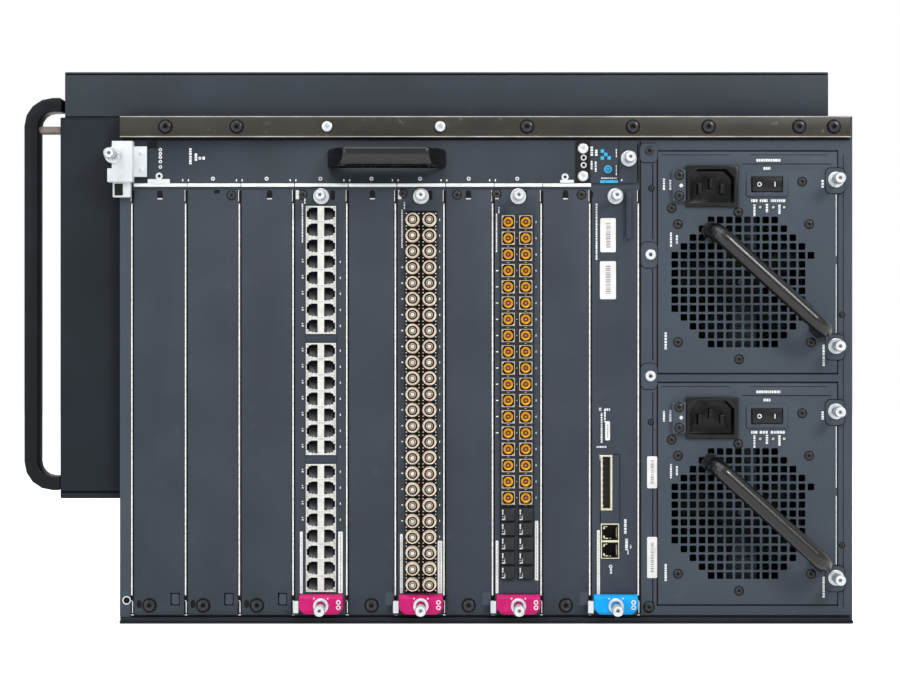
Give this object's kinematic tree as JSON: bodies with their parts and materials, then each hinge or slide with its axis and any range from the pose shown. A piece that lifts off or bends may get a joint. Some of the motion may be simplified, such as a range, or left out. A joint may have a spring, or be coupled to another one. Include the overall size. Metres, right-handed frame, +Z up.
{
  "type": "modular chassis switch",
  "caption": "Rack chassis switch with vertical plug-in cards, ejector levers, a fan tray, twin power supplies, side and top air ducts and a lifting handle.",
  "frame": {"origin": "middle of the chassis base, on the surface it stands on", "axes": "+X to the right along the front, -Y towards the front, +Z up"},
  "size_m": [0.727, 0.462, 0.4835],
  "materials": {
    "bar_paint": "satin",
    "black_paint": "satin",
    "black_plastic": "semi-gloss",
    "black_steel": "black oxide",
    "blue_plastic": "satin",
    "board_laminate": "solder mask",
    "bright_steel": "bright zinc",
    "dark_paint": "satin powder coat",
    "duct_paint": "matt powder coat",
    "fan_plastic": "matt",
    "gasket_steel": "bright",
    "jack_shell": "tinned",
    "nickel": "nickel plate",
    "panel_paint": "satin powder coat",
    "pink_plastic": "satin",
    "socket_plastic": "matt",
    "switch_plastic": "gloss",
    "tan_strap": "matt",
    "white_plastic": "satin"
  },
  "bodies": {
    "base": {"chassis": "dark_paint", "bottom_strip": "dark_paint", "mounting_bar": "bar_paint", "black_screws": "black_steel", "silver_screws": "bright_steel", "top_duct": "duct_paint", "side_duct": "duct_paint", "side_handle": "black_paint", "handle_stay": "tan_strap", "blank_1": "panel_paint", "blank_2": "panel_paint", "blank_3": "panel_paint", "blank_5": "panel_paint", "blank_7": "panel_paint", "blank_9": "panel_paint", "slot_gaskets": "gasket_steel", "backplane": "board_laminate"},
    "copper_card": {"copper_card_panel": "panel_paint", "copper_card_board": "board_laminate", "copper_card_jacks": "jack_shell"},
    "copper_card_lever": {"copper_card_lever": "pink_plastic"},
    "copper_card_top_screw": {"copper_card_top_screw": "bright_steel"},
    "copper_card_low_screw": {"copper_card_low_screw": "bright_steel"},
    "coax_card": {"coax_card_panel": "panel_paint", "coax_card_board": "board_laminate", "coax_card_jacks": "nickel"},
    "coax_card_lever": {"coax_card_lever": "pink_plastic"},
    "coax_card_top_screw": {"coax_card_top_screw": "bright_steel"},
    "coax_card_low_screw": {"coax_card_low_screw": "bright_steel"},
    "port_card": {"port_card_panel": "panel_paint", "port_card_board": "board_laminate", "port_card_jacks": "socket_plastic"},
    "port_card_lever": {"port_card_lever": "pink_plastic"},
    "port_card_top_screw": {"port_card_top_screw": "bright_steel"},
    "port_card_low_screw": {"port_card_low_screw": "bright_steel"},
    "control_card": {"control_card_panel": "panel_paint", "control_card_board": "board_laminate", "control_card_jacks": "jack_shell"},
    "control_card_lever": {"control_card_lever": "blue_plastic"},
    "control_card_top_screw": {"control_card_top_screw": "bright_steel"},
    "control_card_low_screw": {"control_card_low_screw": "bright_steel"},
    "psu_1": {"psu_1_case": "dark_paint", "psu_1_inlet": "black_plastic", "psu_1_handle": "black_plastic"},
    "psu_1_rocker": {"psu_1_rocker": "switch_plastic"},
    "psu_1_fan": {"psu_1_fan": "fan_plastic"},
    "psu_1_top_screw": {"psu_1_top_screw": "bright_steel"},
    "psu_1_low_screw": {"psu_1_low_screw": "bright_steel"},
    "psu_2": {"psu_2_case": "dark_paint", "psu_2_inlet": "black_plastic", "psu_2_handle": "black_plastic"},
    "psu_2_rocker": {"psu_2_rocker": "switch_plastic"},
    "psu_2_fan": {"psu_2_fan": "fan_plastic"},
    "psu_2_top_screw": {"psu_2_top_screw": "bright_steel"},
    "psu_2_low_screw": {"psu_2_low_screw": "bright_steel"},
    "fan_tray": {"fan_tray": "dark_paint", "tray_handle": "black_plastic", "tray_bracket": "white_plastic"},
    "tray_left_screw": {"tray_left_screw": "bright_steel"},
    "tray_right_screw": {"tray_right_screw": "bright_steel"}
  },
  "joints": [
    {"name": "copper_card_slide", "type": "slide", "parent": "base", "child": "copper_card", "axis": [0, -1, 0], "range_m": [0, 0.35]},
    {"name": "copper_card_lever_hinge", "type": "hinge", "parent": "copper_card", "child": "copper_card_lever", "pos_m": [-0.14435, -0.2135, 0.0114], "axis": [1, 0, 0], "range_deg": [0, 50]},
    {"name": "copper_card_top_screw_turn", "type": "hinge", "parent": "copper_card", "child": "copper_card_top_screw", "pos_m": [-0.14435, -0.21, 0.3735], "axis": [0, 1, 0], "continuous": true},
    {"name": "copper_card_low_screw_turn", "type": "hinge", "parent": "copper_card_lever", "child": "copper_card_low_screw", "pos_m": [-0.14435, -0.219, 0.0145], "axis": [0, 1, 0], "continuous": true},
    {"name": "coax_card_slide", "type": "slide", "parent": "base", "child": "coax_card", "axis": [0, -1, 0], "range_m": [0, 0.35]},
    {"name": "coax_card_lever_hinge", "type": "hinge", "parent": "coax_card", "child": "coax_card_lever", "pos_m": [-0.0571, -0.2135, 0.0114], "axis": [1, 0, 0], "range_deg": [0, 50]},
    {"name": "coax_card_top_screw_turn", "type": "hinge", "parent": "coax_card", "child": "coax_card_top_screw", "pos_m": [-0.0571, -0.21, 0.3735], "axis": [0, 1, 0], "continuous": true},
    {"name": "coax_card_low_screw_turn", "type": "hinge", "parent": "coax_card_lever", "child": "coax_card_low_screw", "pos_m": [-0.0571, -0.219, 0.0145], "axis": [0, 1, 0], "continuous": true},
    {"name": "port_card_slide", "type": "slide", "parent": "base", "child": "port_card", "axis": [0, -1, 0], "range_m": [0, 0.35]},
    {"name": "port_card_lever_hinge", "type": "hinge", "parent": "port_card", "child": "port_card_lever", "pos_m": [0.0279, -0.2135, 0.0114], "axis": [1, 0, 0], "range_deg": [0, 50]},
    {"name": "port_card_top_screw_turn", "type": "hinge", "parent": "port_card", "child": "port_card_top_screw", "pos_m": [0.0279, -0.21, 0.3735], "axis": [0, 1, 0], "continuous": true},
    {"name": "port_card_low_screw_turn", "type": "hinge", "parent": "port_card_lever", "child": "port_card_low_screw", "pos_m": [0.0279, -0.219, 0.0145], "axis": [0, 1, 0], "continuous": true},
    {"name": "control_card_slide", "type": "slide", "parent": "base", "child": "control_card", "axis": [0, -1, 0], "range_m": [0, 0.35]},
    {"name": "control_card_lever_hinge", "type": "hinge", "parent": "control_card", "child": "control_card_lever", "pos_m": [0.1129, -0.2135, 0.0114], "axis": [1, 0, 0], "range_deg": [0, 50]},
    {"name": "control_card_top_screw_turn", "type": "hinge", "parent": "control_card", "child": "control_card_top_screw", "pos_m": [0.1129, -0.21, 0.3735], "axis": [0, 1, 0], "continuous": true},
    {"name": "control_card_low_screw_turn", "type": "hinge", "parent": "control_card_lever", "child": "control_card_low_screw", "pos_m": [0.1129, -0.219, 0.0145], "axis": [0, 1, 0], "continuous": true},
    {"name": "psu_1_slide", "type": "slide", "parent": "base", "child": "psu_1", "axis": [0, -1, 0], "range_m": [0, 0.34]},
    {"name": "psu_1_rocker_tilt", "type": "hinge", "parent": "psu_1", "child": "psu_1_rocker", "pos_m": [0.24535, -0.208, 0.38385], "axis": [0, 0, 1], "range_deg": [-6, 6]},
    {"name": "psu_1_fan_spin", "type": "hinge", "parent": "psu_1", "child": "psu_1_fan", "pos_m": [0.2245, -0.199, 0.2986], "axis": [0, 1, 0], "continuous": true},
    {"name": "psu_1_top_screw_turn", "type": "hinge", "parent": "psu_1", "child": "psu_1_top_screw", "pos_m": [0.3057, -0.21, 0.3881], "axis": [0, 1, 0], "continuous": true},
    {"name": "psu_1_low_screw_turn", "type": "hinge", "parent": "psu_1", "child": "psu_1_low_screw", "pos_m": [0.3057, -0.21, 0.2426], "axis": [0, 1, 0], "continuous": true},
    {"name": "psu_2_slide", "type": "slide", "parent": "base", "child": "psu_2", "axis": [0, -1, 0], "range_m": [0, 0.34]},
    {"name": "psu_2_rocker_tilt", "type": "hinge", "parent": "psu_2", "child": "psu_2_rocker", "pos_m": [0.24535, -0.208, 0.18125], "axis": [0, 0, 1], "range_deg": [-6, 6]},
    {"name": "psu_2_fan_spin", "type": "hinge", "parent": "psu_2", "child": "psu_2_fan", "pos_m": [0.2245, -0.199, 0.096], "axis": [0, 1, 0], "continuous": true},
    {"name": "psu_2_top_screw_turn", "type": "hinge", "parent": "psu_2", "child": "psu_2_top_screw", "pos_m": [0.3057, -0.21, 0.1855], "axis": [0, 1, 0], "continuous": true},
    {"name": "psu_2_low_screw_turn", "type": "hinge", "parent": "psu_2", "child": "psu_2_low_screw", "pos_m": [0.3057, -0.21, 0.04], "axis": [0, 1, 0], "continuous": true},
    {"name": "fan_tray_slide", "type": "slide", "parent": "base", "child": "fan_tray", "axis": [0, -1, 0], "range_m": [0, 0.365]},
    {"name": "tray_left_screw_turn", "type": "hinge", "parent": "fan_tray", "child": "tray_left_screw", "pos_m": [-0.3248, -0.224, 0.4086], "axis": [0, 1, 0], "continuous": true},
    {"name": "tray_right_screw_turn", "type": "hinge", "parent": "fan_tray", "child": "tray_right_screw", "pos_m": [0.1245, -0.21, 0.4065], "axis": [0, 1, 0], "continuous": true}
  ]
}
